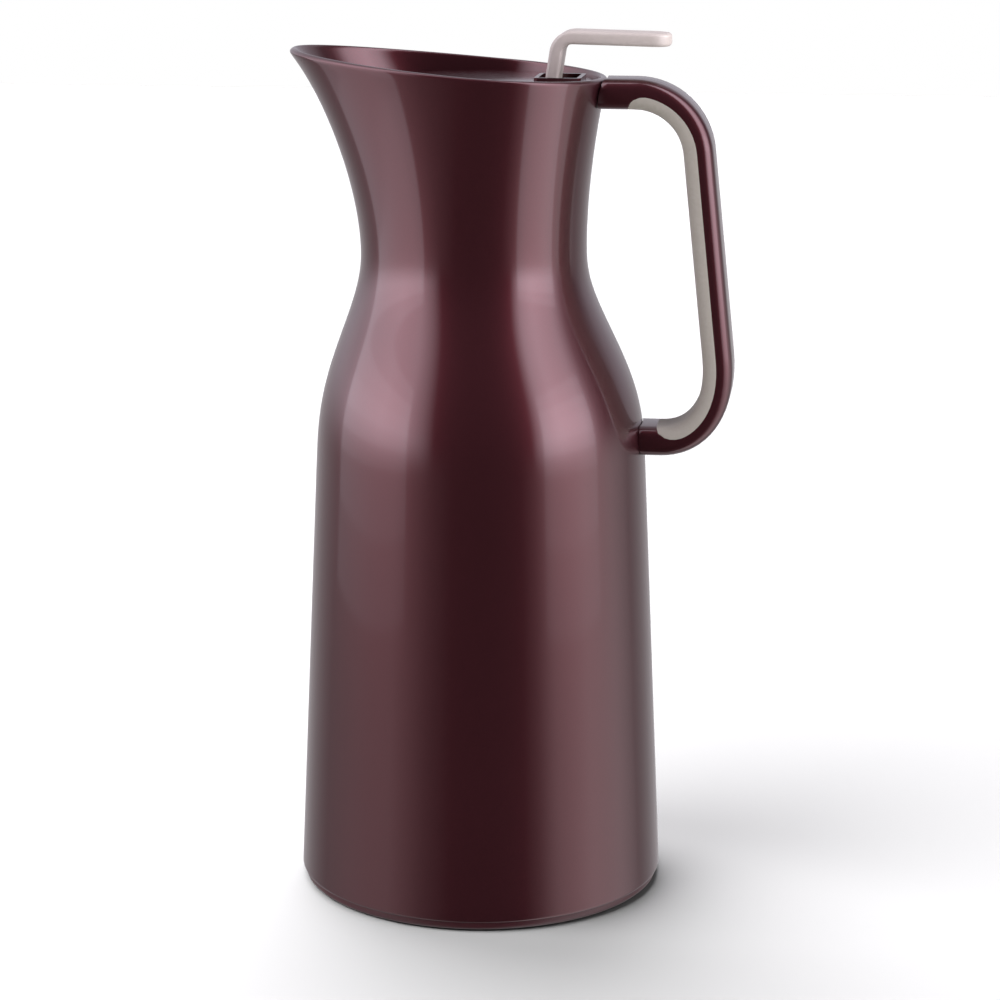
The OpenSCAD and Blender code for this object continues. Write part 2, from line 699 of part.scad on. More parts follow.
module thumb_lever() {
    color([0.86, 0.79, 0.74])
        difference() {
            union() {
                intersection() {
                    translate([0, lever_w / 2, 0]) rotate([90, 0, 0])
                        linear_extrude(height = lever_w)
                            polygon(concat(
                                lever_side(lever_t / 2), lever_tip(1), lever_tip(-1),
                                backwards(lever_side(-lever_t / 2))
                            ));
                    translate([0, 0, pivot_z - 1]) linear_extrude(height = lever_top_z - pivot_z + 2) lever_plan();
                }
                rod_y(hub_r, -hub_half_w, hub_half_w, pivot_x, pivot_z);
                both_sides() translate([0, tine_y0, pivot_z - tine_r])
                    cube([pivot_x, tine_y1 - tine_y0, 2 * tine_r]);
                both_sides() rod_y(tine_r, tine_y0, tine_y1, 0, pivot_z);
            }
            rod_y(pin_r + running_gap, -hub_half_w - 1, hub_half_w + 1, pivot_x, pivot_z);
        }
}
module lever_pin() {
    color([0.75, 0.75, 0.75])
        rod_y(pin_r, -hub_half_w - ear_gap - ear_t, hub_half_w + ear_gap + ear_t, pivot_x, pivot_z);
}
module valve_rod() {
    color([0.75, 0.75, 0.75])
        translate([0, 0, valve_seal_z]) cylinder(h = rod_top_z - valve_seal_z, r = rod_r);
}
module lift_disc() { color([0.9, 0.9, 0.88]) ring(rod_r, lift_disc_r, lift_disc_z, lift_disc_z + lift_disc_h); }
module rod_clip() {
    color([0.6, 0.6, 0.62])
        difference() {
            ring(rod_r, clip_r, lift_disc_z + lift_disc_h, lift_disc_z + lift_disc_h + clip_h);
            translate([0, -rod_r / 2, lift_disc_z]) cube([clip_r + 1, rod_r, lift_disc_h + clip_h + 1]);
        }
}
module valve_head() {
    color([0.9, 0.9, 0.88]) {
        ring(rod_r, valve_r, head_z, head_z + head_h);
        ring(rod_r, head_hub_r, head_z, head_z + head_h + head_hub_h);
    }
}
module valve_seal() { color([0.85, 0.85, 0.82]) ring(rod_r, valve_r, valve_seal_z, head_z); }
module valve_spring() {
    steps = coil_turns * coil_steps;
    rings = [for (k = [0 : steps])
        let (t = 360 * k / coil_steps, z = mix(spring_z0 + wire_r, spring_z1 - wire_r, ease(k / steps)))
            [for (i = [0 : coil_sides - 1])
                let (a = 360 * i / coil_sides, r = coil_r + wire_r * cos(a))
                    [r * cos(t), r * sin(t), z + wire_r * sin(a)]]];
    color([0.7, 0.7, 0.72]) swept(rings);
}

outer_shell();
base_cap();
foot_ring();
base_seal();
liner_cushion();
tip_guard();
liner_outer_glass();
liner_inner_glass();
liner_spacers();
neck_gasket();
neck_collar();
collar_seal();
handle_shell();
handle_grip();
handle_inserts();
handle_screws();
stopper_body();
stopper_plug();
stopper_cover();
stopper_seal();
plug_seal();
guide_bush();
rod_gland();
thumb_lever();
lever_pin();
valve_rod();
lift_disc();
rod_clip();
valve_head();
valve_seal();
valve_spring();
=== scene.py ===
"""Vacuum coffee jug with a thumb-lever stopper: the finished looks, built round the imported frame.

The jug stands on the floor at the origin, +Z up, with its spout towards -X and its handle towards +X.
Each section below is one piece or one group of like pieces, in the order they go together.
"""

import math

import bmesh
import bpy
from mathutils import Matrix, Vector


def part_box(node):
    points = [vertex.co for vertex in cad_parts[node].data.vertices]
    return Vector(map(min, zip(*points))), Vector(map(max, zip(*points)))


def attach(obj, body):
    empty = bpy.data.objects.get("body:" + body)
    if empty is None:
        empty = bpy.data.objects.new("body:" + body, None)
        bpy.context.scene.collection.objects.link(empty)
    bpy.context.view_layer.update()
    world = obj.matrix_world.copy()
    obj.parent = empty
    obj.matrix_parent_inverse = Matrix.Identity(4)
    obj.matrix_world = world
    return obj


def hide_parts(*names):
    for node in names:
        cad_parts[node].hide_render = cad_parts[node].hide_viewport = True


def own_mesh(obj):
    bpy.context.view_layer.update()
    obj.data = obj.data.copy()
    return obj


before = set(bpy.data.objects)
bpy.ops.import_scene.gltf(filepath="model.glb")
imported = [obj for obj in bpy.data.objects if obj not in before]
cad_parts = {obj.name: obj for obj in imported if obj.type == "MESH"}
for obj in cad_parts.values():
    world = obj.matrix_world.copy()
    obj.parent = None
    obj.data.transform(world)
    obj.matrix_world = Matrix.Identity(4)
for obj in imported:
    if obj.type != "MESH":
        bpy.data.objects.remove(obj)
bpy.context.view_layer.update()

# ---------------------------------------------------------------------------------------------------
# Camera: a long lens, a little towards the handle side and looking slightly down on the jug.

CAMERA_AZIMUTH = math.radians(8)
CAMERA_DISTANCE = 0.967
CAMERA_HEIGHT = 0.3685
CAMERA_PITCH = math.radians(13.5)

camera_data = bpy.data.cameras.new("camera")
camera_data.lens = 101.9
camera_data.shift_x = 0.019
camera = bpy.data.objects.new("camera", camera_data)
camera.location = (
    math.sin(CAMERA_AZIMUTH) * CAMERA_DISTANCE,
    -math.cos(CAMERA_AZIMUTH) * CAMERA_DISTANCE,
    CAMERA_HEIGHT,
)
camera.rotation_euler = (math.pi / 2 - CAMERA_PITCH, 0, CAMERA_AZIMUTH)
bpy.context.scene.collection.objects.link(camera)
bpy.context.scene.camera = camera
bpy.context.scene.view_settings.view_transform = "Standard"

# ---------------------------------------------------------------------------------------------------
# Floor: a plain white sweep that runs out of sight. It takes the soft shadow and nothing else.

bpy.ops.object.select_all(action="DESELECT")
bpy.ops.mesh.primitive_plane_add(size=6)
floor = bpy.context.object
floor.name = "floor"
floor_paint = bpy.data.materials.new("floor_paint")
floor_paint.use_nodes = True
floor_shader = floor_paint.node_tree.nodes["Principled BSDF"]
floor_shader.inputs["Base Color"].default_value = (0.0665, 0.0690, 0.0624, 1)
floor_shader.inputs["Roughness"].default_value = 0.8
floor_shader.inputs["Specular IOR Level"].default_value = 0.1
floor.data.materials.append(floor_paint)
floor.visible_glossy = False

# ---------------------------------------------------------------------------------------------------
# Studio light: white behind the jug, and a soft room round it. Low down the room has a dim board on each
# side, higher up a bright box on each side. All stop short of the camera, which leaves a dark stripe down
# the jug's front. Stacked cards fill the sides from the floor up. Two key lights fall on the floor only.

# Each key: name, strength, softness, tilt from upright and turn round the jug, in degrees
KEYS = (("front_key", 24.0, 44, 36, -56), ("back_key", 29.0, 46, 32, -158))
# Light of the room round the compass: degrees from the camera, and level
LOW_LEVELS = (
    (-180, 0.5), (-150, 0.42), (-118, 0.26), (-90, 0.55), (-62, 0.72), (-36, 0.22), (-20, 0.03), (28, 0.03),
    (38, 0.3), (50, 1.0), (75, 1.5), (100, 1.1), (122, 0.3), (150, 0.45), (180, 0.5),
)
HIGH_LEVELS = (
    (-180, 0.5), (-150, 0.65), (-122, 1.15), (-100, 2.0), (-75, 3.4), (-54, 3.35), (-42, 1.7), (-33, 0.03),
    (36, 0.03), (46, 3.9), (58, 4.8), (80, 3.3), (93, 0.7), (101, 0.15), (116, 0.12), (132, 0.55), (150, 0.6),
    (180, 0.5),
)
LOW_TINT = (1, 0.95, 0.98)
HIGH_TINT = (0.94, 0.9, 1)
HIGHEST_LEVEL = 6.0
CARD_DISTANCE = 0.34
CARD_SIDES = (("left", -78, 0.38), ("right", 61, 0.25))
# Each card of a stack: foot and top above the floor, and level
CARDS = (
    (0.04, 0.08, 0.25), (0.08, 0.12, 0.5), (0.12, 0.16, 0.8), (0.16, 0.2, 1.2), (0.2, 0.25, 1.5),
    (0.25, 0.29, 1.3), (0.29, 0.33, 0.7),
)
RISE_FROM = -0.17
RISE_TO = 0.12

world = bpy.data.worlds.new("studio")
world.use_nodes = True
bpy.context.scene.world = world
air = world.node_tree.nodes
air_link = world.node_tree.links.new


def level_ramp(levels, tint, angle):
    """Light of the room round the compass, from pairs of (degrees from the camera, level)."""
    ramp = air.new("ShaderNodeValToRGB")
    stops = ramp.color_ramp.elements
    while len(stops) > 1:
        stops.remove(stops[-1])
    for i, (degrees, level) in enumerate(levels):
        stop = stops[0] if i == 0 else stops.new((degrees + 180) / 360)
        stop.position = (degrees + 180) / 360
        shade = level / HIGHEST_LEVEL
        stop.color = (*(shade * part for part in tint), 1)
    air_link(angle, ramp.inputs["Fac"])
    return ramp.outputs["Color"]


direction = air.new("ShaderNodeTexCoord")
turned = air.new("ShaderNodeVectorRotate")
turned.rotation_type = "Z_AXIS"
turned.inputs["Angle"].default_value = -CAMERA_AZIMUTH
split = air.new("ShaderNodeSeparateXYZ")
toward = air.new("ShaderNodeMath")
toward.operation = "MULTIPLY"
toward.inputs[1].default_value = -1
compass = air.new("ShaderNodeMath")
compass.operation = "ARCTAN2"
share = air.new("ShaderNodeMapRange")
share.inputs["From Min"].default_value = -math.pi
share.inputs["From Max"].default_value = math.pi
rise = air.new("ShaderNodeMapRange")
rise.interpolation_type = "SMOOTHSTEP"
rise.inputs["From Min"].default_value = RISE_FROM
rise.inputs["From Max"].default_value = RISE_TO
room = air.new("ShaderNodeMix")
room.data_type = "RGBA"
backdrop = air.new("ShaderNodeBackground")
seen = air.new("ShaderNodeLightPath")
choice = air.new("ShaderNodeMixShader")
air_link(direction.outputs["Generated"], turned.inputs["Vector"])
air_link(turned.outputs["Vector"], split.inputs["Vector"])
air_link(split.outputs["Y"], toward.inputs[0])
air_link(split.outputs["X"], compass.inputs[0])
air_link(toward.outputs[0], compass.inputs[1])
air_link(compass.outputs[0], share.inputs["Value"])
air_link(split.outputs["Z"], rise.inputs["Value"])
air_link(rise.outputs["Result"], room.inputs["Factor"])
air_link(level_ramp(LOW_LEVELS, LOW_TINT, share.outputs["Result"]), room.inputs["A"])
air_link(level_ramp(HIGH_LEVELS, HIGH_TINT, share.outputs["Result"]), room.inputs["B"])
air_link(room.outputs["Result"], air["Background"].inputs["Color"])
air["Background"].inputs["Strength"].default_value = HIGHEST_LEVEL
backdrop.inputs["Color"].default_value = (1, 1, 1, 1)
air_link(seen.outputs["Is Camera Ray"], choice.inputs["Fac"])
air_link(air["Background"].outputs["Background"], choice.inputs[1])
air_link(backdrop.outputs["Background"], choice.inputs[2])
air_link(choice.outputs["Shader"], air["World Output"].inputs["Surface"])

for side, azimuth, wide in CARD_SIDES:
    for i, (foot, top, level) in enumerate(CARDS):
        card_data = bpy.data.lights.new(f"{side}_card_{i}", "AREA")
        card_data.shape = "RECTANGLE"
        card_data.size = wide
        card_data.size_y = top - foot
        card_data.energy = level * math.pi * wide * (top - foot)
        card_data.color = HIGH_TINT
        card = bpy.data.objects.new(card_data.name, card_data)
        turn = CAMERA_AZIMUTH + math.radians(azimuth)
        card.location = (math.sin(turn) * CARD_DISTANCE, -math.cos(turn) * CARD_DISTANCE, (foot + top) / 2)
        card.rotation_euler = (math.pi / 2, 0, turn)
        card.visible_camera = False
        bpy.context.scene.collection.objects.link(card)

floor_only = bpy.data.collections.new("floor_only")
floor_only.objects.link(floor)
for name, strength, softness, tilt, turn in KEYS:
    key_data = bpy.data.lights.new(name, "SUN")
    key_data.energy = strength
    key_data.angle = math.radians(softness)
    key_data.color = HIGH_TINT
    key = bpy.data.objects.new(name, key_data)
    key.rotation_euler = (
        Matrix.Rotation(math.radians(turn), 3, "Z") @ Matrix.Rotation(math.radians(tilt), 3, "X")
    ).to_euler()
    bpy.context.scene.collection.objects.link(key)
    key.light_linking.receiver_collection = floor_only

# ---------------------------------------------------------------------------------------------------
# Body shell: one glossy moulding, open at the bottom and at the mouth. It tapers to a shoulder, draws in
# to a waist and opens into an egg-shaped mouth, whose front half is pulled out into the spout.
# It is injection moulded in burgundy pearl lacquer under a clear coat, with a rounded, polished rim.

MM = 0.001
SAME_HEIGHT = 1e-5
PAST_MIDDLE = 1e-6
SAME_POINT = 1e-6
TAPER = 0.046
TAPER_Z = 9.5 * MM
FOOT_R = 64 * MM
SHELL_Z0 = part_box("outer_shell")[0].z
SHOULDER_Z = 155 * MM
WAIST_Z = 222 * MM
SHOULDER_DROP = 15.3 * MM
SHOULDER_BIAS = 1.3
NECK_LEAN = 2.4 * MM
MOUTH_FLARE = 6 * MM
MOUTH_SHIFT = 3.4 * MM
SPOUT_REACH = 23 * MM
LIP_CURL = 1.9 * MM
FLARE_POWER = 1.7
CURL_POWER = 10
RIM_Z = 286.95 * MM
RIM_SLOPE = 0.0745
RIM_CURVE = 0.14
WALL = 2.4 * MM
RIM_ROUND = 0.9 * MM
BODY_SIDES = 96
FOOT_EDGE = 1.5 * MM
TAPER_RINGS = (9 * MM, 45 * MM, 85 * MM, 120 * MM, 143 * MM)
SHOULDER_RINGS = 14
FLARE_RINGS = 14


def deselect():
    if bpy.context.mode != "OBJECT":
        bpy.ops.object.mode_set(mode="OBJECT")
    bpy.ops.object.select_all(action="DESELECT")


def edit(thing):
    """Opens one object alone in edit mode with all of it selected."""
    deselect()
    thing.select_set(True)
    bpy.context.view_layer.objects.active = thing
    bpy.ops.object.mode_set(mode="EDIT")
    bpy.ops.mesh.select_mode(type="VERT")
    bpy.ops.mesh.select_all(action="SELECT")


def pick(test, kind="verts"):
    """Selects what passes the test by its middle, in the object that is open. Returns how many."""
    bpy.ops.mesh.select_mode(type={"verts": "VERT", "edges": "EDGE", "faces": "FACE"}[kind])
    bpy.ops.mesh.select_all(action="DESELECT")
    mesh = bmesh.from_edit_mesh(bpy.context.object.data)
    found = 0
    for part in getattr(mesh, kind):
        middle = part.co if kind == "verts" else sum((v.co for v in part.verts), Vector()) / len(part.verts)
        if test(middle):
            part.select_set(True)
            found += 1
    bmesh.update_edit_mesh(bpy.context.object.data)
    return found


def modify(thing, kind, **settings):
    """Adds one modifier and applies it."""
    deselect()
    thing.select_set(True)
    bpy.context.view_layer.objects.active = thing
    modifier = thing.modifiers.new(kind.lower(), kind)
    for label, value in settings.items():
        setattr(modifier, label, value)
    bpy.ops.object.modifier_apply(modifier=modifier.name)


def smooth(thing, angle=35):
    """Smooth shading, with edges sharper than the angle kept crisp."""
    deselect()
    thing.select_set(True)
    bpy.context.view_layer.objects.active = thing
    bpy.ops.object.shade_smooth_by_angle(angle=math.radians(angle))


def new_piece(name, add, **settings):
    """Adds a primitive alone, names it, puts its place in its mesh and opens it in edit mode."""
    deselect()
    add(**settings)
    thing = bpy.context.object
    thing.name = name
    bpy.ops.object.transform_apply(location=True, rotation=True, scale=True)
    edit(thing)
    return thing


def lathe(name, outline, sides=128):
    """A turned piece: a ring of edges is extruded and resized from one (radius, height) to the next."""
    (radius, height), rest = outline[0], outline[1:]
    thing = new_piece(
        name, bpy.ops.mesh.primitive_circle_add, vertices=sides, radius=radius, location=(0, 0, height)
    )
    for next_radius, next_height in rest:
        bpy.ops.mesh.extrude_edges_move(TRANSFORM_OT_translate={"value": (0, 0, next_height - height)})
        grow = next_radius / radius
        bpy.ops.transform.resize(value=(grow, grow, 1), center_override=(0, 0, next_height))
        radius, height = next_radius, next_height
    bpy.ops.mesh.select_all(action="SELECT")
    bpy.ops.mesh.remove_doubles(threshold=SAME_POINT)
    bpy.ops.mesh.normals_make_consistent(inside=False)
    bpy.ops.object.mode_set(mode="OBJECT")
    return thing


def shoulder_share(z):
    t = min(1, max(0, (z - SHOULDER_Z) / (WAIST_Z - SHOULDER_Z))) ** SHOULDER_BIAS
    return t * t * (3 - 2 * t)


def body_radius(z):
    return FOOT_R - TAPER * (z - TAPER_Z) - SHOULDER_DROP * shoulder_share(z)


def rim_height(x):
    """Height of the rim where it is that far from the jug's middle."""
    return RIM_Z - RIM_SLOPE * x + RIM_CURVE * x * x


def tilt_half(centre, height, slope, front):
    """Tilts one half of a flat ring about the ring's middle: a turn, then a stretch back to its length."""
    turn = math.atan(slope)
    pick(
        lambda p: abs(p.z - height) < SAME_HEIGHT
        and (p.x < centre - PAST_MIDDLE if front else p.x > centre + PAST_MIDDLE)
    )
    bpy.ops.transform.rotate(value=-turn, orient_axis="Y", center_override=(centre, 0, height))
    bpy.ops.transform.resize(value=(1 / math.cos(turn), 1, 1), center_override=(centre, 0, height))


body = new_piece(
    "body_shell", bpy.ops.mesh.primitive_circle_add, vertices=BODY_SIDES, radius=body_radius(SHELL_Z0),
    location=(0, 0, SHELL_Z0),
)
ring_z = SHELL_Z0
ring_x = 0.0
ring_r = body_radius(SHELL_Z0)
plain_heights = [SHELL_Z0 + FOOT_EDGE, *TAPER_RINGS]
plain_heights += [SHOULDER_Z + (WAIST_Z - SHOULDER_Z) * k / SHOULDER_RINGS for k in range(SHOULDER_RINGS + 1)]
for height in plain_heights:
    next_x = -NECK_LEAN * shoulder_share(height)
    next_r = body_radius(height)
    bpy.ops.mesh.extrude_edges_move(TRANSFORM_OT_translate={"value": (next_x - ring_x, 0, height - ring_z)})
    bpy.ops.transform.resize(value=(next_r / ring_r, next_r / ring_r, 1), center_override=(next_x, 0, height))
    ring_z, ring_x, ring_r = height, next_x, next_r

mouth_rings = []
for k in range(1, FLARE_RINGS + 1):
    v = k / FLARE_RINGS
    height = WAIST_Z + v * (RIM_Z - WAIST_Z)
    next_x = -NECK_LEAN + MOUTH_SHIFT * v**FLARE_POWER
    next_r = body_radius(height) + MOUTH_FLARE * v**FLARE_POWER
    bpy.ops.mesh.extrude_edges_move(TRANSFORM_OT_translate={"value": (next_x - ring_x, 0, height - ring_z)})
    bpy.ops.transform.resize(value=(next_r / ring_r, next_r / ring_r, 1), center_override=(next_x, 0, height))
    ring_z, ring_x, ring_r = height, next_x, next_r
    mouth_rings.append((v, height, next_x, next_r))

rim_r = mouth_rings[-1][3]
rim_back_x = ring_x + rim_r
rim_front_x = ring_x - rim_r - SPOUT_REACH - LIP_CURL
for v, height, centre, radius in reversed(mouth_rings):
    reach = radius + SPOUT_REACH * v**FLARE_POWER + LIP_CURL * v**CURL_POWER
    pick(lambda p: abs(p.z - height) < SAME_HEIGHT and p.x < centre - PAST_MIDDLE)
    bpy.ops.transform.resize(value=(reach / radius, 1, 1), center_override=(centre, 0, height))
    middle_rise = v * (rim_height(ring_x) - RIM_Z)
    front_rise = v * (rim_height(rim_front_x) - RIM_Z)
    back_rise = v * (rim_height(rim_back_x) - RIM_Z)
    tilt_half(centre, height, (front_rise - middle_rise) / reach, True)
    tilt_half(centre, height, (middle_rise - back_rise) / radius, False)
bpy.ops.mesh.select_all(action="SELECT")
bpy.ops.mesh.normals_make_consistent(inside=False)
if all(face.normal.x < 0 for face in bmesh.from_edit_mesh(body.data).faces if face.calc_center_median().x > 0.05):
    bpy.ops.mesh.flip_normals()
modify(body, "SOLIDIFY", thickness=WALL, offset=-1, use_even_offset=True)
modify(body, "BEVEL", width=RIM_ROUND, segments=3, limit_method="ANGLE", angle_limit=math.radians(60))
modify(body, "SUBSURF", levels=1, render_levels=1)
smooth(body, 60)
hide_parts("outer_shell")
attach(body, "root")


def new_group(name, inputs, outputs):
    """An empty shader node group with its sockets. Returns the group, its input and its output node."""
    group = bpy.data.node_groups.new(name, "ShaderNodeTree")
    for label, kind, value in inputs:
        group.interface.new_socket(label, in_out="INPUT", socket_type=kind).default_value = value
    for label, kind in outputs:
        group.interface.new_socket(label, in_out="OUTPUT", socket_type=kind)
    return group, group.nodes.new("NodeGroupInput"), group.nodes.new("NodeGroupOutput")


def join_nodes(group, *pairs):
    for start, end in pairs:
        group.links.new(start, end)


def moulded_grain():
    """Fine even grain of a moulded surface: a small height, and a slow change in roughness."""
    group, start, end = new_group(
        "moulded_grain",
        [
            ("Scale", "NodeSocketFloat", 900),
            ("Roughness", "NodeSocketFloat", 0.4),
            ("Spread", "NodeSocketFloat", 0.1),
        ],
        [("Height", "NodeSocketFloat"), ("Roughness", "NodeSocketFloat")],
    )
    place = group.nodes.new("ShaderNodeTexCoord")
    fine = group.nodes.new("ShaderNodeTexNoise")
    broad = group.nodes.new("ShaderNodeTexNoise")
    centred = group.nodes.new("ShaderNodeMath")
    total = group.nodes.new("ShaderNodeMath")
    fine.inputs["Detail"].default_value = 3
    broad.inputs["Scale"].default_value = 28
    broad.inputs["Detail"].default_value = 4
    centred.operation = "SUBTRACT"
    centred.inputs[1].default_value = 0.5
    total.operation = "MULTIPLY_ADD"
    join_nodes(
        group,
        (place.outputs["Object"], fine.inputs["Vector"]),
        (place.outputs["Object"], broad.inputs["Vector"]),
        (start.outputs["Scale"], fine.inputs["Scale"]),
        (broad.outputs["Fac"], centred.inputs[0]),
        (centred.outputs[0], total.inputs[0]),
        (start.outputs["Spread"], total.inputs[1]),
        (start.outputs["Roughness"], total.inputs[2]),
        (fine.outputs["Fac"], end.inputs["Height"]),
        (total.outputs[0], end.inputs["Roughness"]),
    )
    return group


def two_tone():
    """Two close colours over each other: fine flakes or specks, over a slow drift across the piece."""
    group, start, end = new_group(
        "two_tone",
        [
            ("Dark", "NodeSocketColor", (0, 0, 0, 1)),
            ("Light", "NodeSocketColor", (1, 1, 1, 1)),
            ("Fleck Scale", "NodeSocketFloat", 2600),
            ("Drift Scale", "NodeSocketFloat", 9),
        ],
        [("Color", "NodeSocketColor")],
    )
    place = group.nodes.new("ShaderNodeTexCoord")
    flecks = group.nodes.new("ShaderNodeTexVoronoi")
    drift = group.nodes.new("ShaderNodeTexNoise")
    both = group.nodes.new("ShaderNodeMath")
    blend = group.nodes.new("ShaderNodeMix")
    blend.data_type = "RGBA"
    both.operation = "MULTIPLY"
    join_nodes(
        group,
        (place.outputs["Object"], flecks.inputs["Vector"]),
        (place.outputs["Object"], drift.inputs["Vector"]),
        (start.outputs["Fleck Scale"], flecks.inputs["Scale"]),
        (start.outputs["Drift Scale"], drift.inputs["Scale"]),
        (flecks.outputs["Color"], both.inputs[0]),
        (drift.outputs["Fac"], both.inputs[1]),
        (both.outputs[0], blend.inputs["Factor"]),
        (start.outputs["Dark"], blend.inputs["A"]),
        (start.outputs["Light"], blend.inputs["B"]),
        (blend.outputs["Result"], end.inputs["Color"]),
    )
    return group


GRAIN = moulded_grain()
TWO_TONE = two_tone()
GRAIN_DEPTH = 0.2 * MM


def finish_of(name, dark, light, roughness, spread=0.08, grain=900, bump=0.05, flecks=1500, **sockets):
    """A material in two close tones with the moulded grain. sockets are plain values on the shader."""
    material = bpy.data.materials.new(name)
    material.use_nodes = True
    tree = material.node_tree
    shader = tree.nodes["Principled BSDF"]
    for label, value in sockets.items():
        shader.inputs[label.replace("_", " ")].default_value = value
    surface = tree.nodes.new("ShaderNodeGroup")
    surface.node_tree = GRAIN
    surface.inputs["Scale"].default_value = grain
    surface.inputs["Roughness"].default_value = roughness
    surface.inputs["Spread"].default_value = spread
    tones = tree.nodes.new("ShaderNodeGroup")
    tones.node_tree = TWO_TONE
    tones.inputs["Dark"].default_value = (*dark, 1)
    tones.inputs["Light"].default_value = (*light, 1)
    tones.inputs["Fleck Scale"].default_value = flecks
    relief = tree.nodes.new("ShaderNodeBump")
    relief.inputs["Strength"].default_value = bump
    relief.inputs["Distance"].default_value = GRAIN_DEPTH
    join_nodes(
        tree,
        (tones.outputs["Color"], shader.inputs["Base Color"]),
        (surface.outputs["Roughness"], shader.inputs["Roughness"]),
        (surface.outputs["Height"], relief.inputs["Height"]),
        (relief.outputs["Normal"], shader.inputs["Normal"]),
    )
    return material


burgundy = finish_of(
    "burgundy_lacquer", (0.0195, 0.0052, 0.0066), (0.031, 0.008, 0.0103), 0.34, spread=0.05, bump=0.006,
    flecks=2600, IOR=1.58, Specular_Tint=(1, 0.2, 0.25, 1), Coat_Weight=1.0, Coat_Roughness=0.09, Coat_IOR=1.5,
)
body.data.materials.append(burgundy)

# ---------------------------------------------------------------------------------------------------
# Handle: a burgundy moulding of rounded section, screwed to the body at both arms, with a soft
# grip moulded into its inner side. The grip starts and ends in a leaf point on the arms.

HANDLE_W = 21 * MM
HANDLE_T = 10.2 * MM
EDGE_R = 4.4 * MM
GRIP_T = 4.8 * MM
HANDLE_STEP = 0.4 * MM
HANDLE_TOP = rim_height(rim_back_x) + HANDLE_STEP
CORNER_R = 26.9 * MM
HANDLE_REACH = 10 * MM
CORNER_X = rim_back_x + HANDLE_REACH
BAR_TILT = math.radians(6.2)
HANDLE_LOW = 155.8 * MM
LOW_CORNER_RISE = 35 * MM
LOW_ARM_REACH = 5.73 * MM
LOW_CORNER_Z = HANDLE_LOW + LOW_CORNER_RISE
LOW_CORNER_X = body_radius(HANDLE_LOW) + LOW_ARM_REACH
LOW_PULL_DOWN = 21 * MM
LOW_PULL_IN = 16 * MM
CORNER_STEPS = 16
LOW_STEPS = 18
UPPER_ARM_STEPS = (17, 9, 6, 4, 2.5, 1.2)
LOWER_ARM_STEPS = (1.2, 2.5, 4, 6, 14)
SECTION_SEGMENTS = 6
UPPER_SEAT_LOW_R = 41.2 * MM
UPPER_SEAT_HIGH_R = 43.7 * MM
LOWER_SEAT_GAP = 0.2 * MM
SEAT_MARGIN = 2 * MM
SEAT_SIDES = 256
GRIP_FIRST_STATION = 4
GRIP_LAST_FROM_END = 5
GRIP_START_RAMP = 8 * MM
GRIP_END_RAMP = 13 * MM
GRIP_RUN_OUT = 0.2 * MM
GRIP_ROOM_PAST_BAR = 4 * MM
SEAM = 0.28 * MM


def handle_stations():
    """Points on the handle's outer line from the upper arm round to the lower arm."""
    corner = Vector((CORNER_X, 0, HANDLE_TOP - CORNER_R))
    points = [Vector((CORNER_X - reach * MM, 0, HANDLE_TOP)) for reach in UPPER_ARM_STEPS]
    for k in range(CORNER_STEPS + 1):
        turn = math.pi / 2 + (BAR_TILT - math.pi / 2) * k / CORNER_STEPS
        points.append(corner + CORNER_R * Vector((math.cos(turn), 0, math.sin(turn))))
    down = Vector((math.sin(BAR_TILT), 0, -math.cos(BAR_TILT)))
    bar_top = points[-1]
    start = bar_top + down * ((bar_top.z - LOW_CORNER_Z) / math.cos(BAR_TILT))
    points += [bar_top.lerp(start, share) for share in (0.25, 0.5, 0.75)]
    end = Vector((LOW_CORNER_X, 0, HANDLE_LOW))
    pull_a = start + down * LOW_PULL_DOWN
    pull_b = end + Vector((LOW_PULL_IN, 0, 0))
    for k in range(LOW_STEPS + 1):
        t = k / LOW_STEPS
        points.append(
            (1 - t) ** 3 * start + 3 * t * (1 - t) ** 2 * pull_a + 3 * t * t * (1 - t) * pull_b + t**3 * end
        )
    points += [Vector((LOW_CORNER_X - reach * MM, 0, HANDLE_LOW)) for reach in LOWER_ARM_STEPS]
    return points


def directions(points):
    """Unit direction of travel at each point of a line."""
    last = len(points) - 1
    return [(points[min(i + 1, last)] - points[max(i - 1, 0)]).normalized() for i in range(last + 1)]


def sweep(name, stations, headings, add_section):
    """Carries a section along a line in the XZ plane, and turns it with the line."""
    thing = add_section(name, stations[0])
    heading = math.atan2(headings[0].z, headings[0].x)
    for i in range(1, len(stations)):
        step = stations[i] - stations[i - 1]
        next_heading = math.atan2(headings[i].z, headings[i].x)
        turn = (next_heading - heading + math.pi) % (2 * math.pi) - math.pi
        bpy.ops.mesh.extrude_edges_move(TRANSFORM_OT_translate={"value": step})
        bpy.ops.transform.rotate(value=turn, orient_axis="Y", center_override=stations[i])
        heading = next_heading
    return thing


def close_ends():
    """Fills the open ends of the piece that is being edited."""
    bpy.ops.mesh.select_all(action="SELECT")
    bpy.ops.mesh.select_mode(type="EDGE")
    bpy.ops.mesh.select_non_manifold()
    bpy.ops.mesh.edge_face_add()


def add_bar_section(name, place):
    """The bar's rounded section, square to the upper arm, with its outer face on the line."""
    middle = place - Vector((0, 0, HANDLE_T / 2))
    thing = new_piece(
        name, bpy.ops.mesh.primitive_plane_add, size=1, rotation=(0, math.pi / 2, 0), location=middle
    )
    bpy.ops.transform.resize(value=(1, HANDLE_W, HANDLE_T), center_override=middle)
    bpy.ops.mesh.bevel(affect="VERTICES", offset=EDGE_R, segments=SECTION_SEGMENTS)
    bpy.ops.mesh.select_all(action="SELECT")
    bpy.ops.mesh.delete(type="ONLY_FACE")
    bpy.ops.mesh.select_all(action="SELECT")
    return thing


